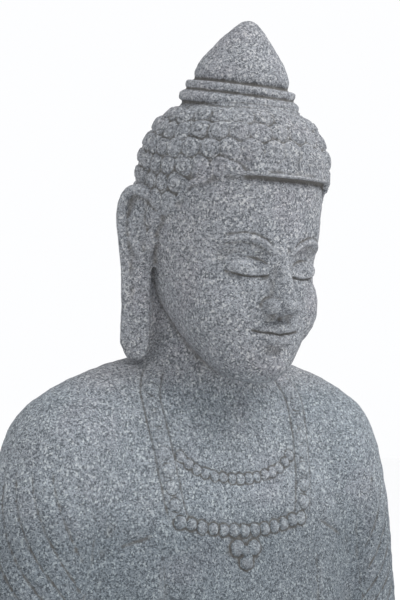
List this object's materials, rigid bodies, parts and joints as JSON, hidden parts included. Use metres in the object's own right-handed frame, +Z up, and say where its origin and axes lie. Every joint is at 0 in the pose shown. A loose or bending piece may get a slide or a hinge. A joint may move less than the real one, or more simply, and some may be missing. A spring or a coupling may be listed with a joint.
{
  "type": "seated buddha statue",
  "caption": "Seated stone figure in a robe, legs crossed and hands in the lap, with curled hair, ringed finial and beaded neck, on a low oval plinth.",
  "frame": {"origin": "on the ground under the middle of the plinth", "axes": "+Z up, the figure faces -Y, its right hand is at -X"},
  "size_m": [0.7994, 0.5598, 0.9997],
  "materials": {
    "stone": "rough grey granite, tooled and unpolished"
  },
  "bodies": {
    "root": {"seated_buddha": "stone"}
  },
  "joints": []
}
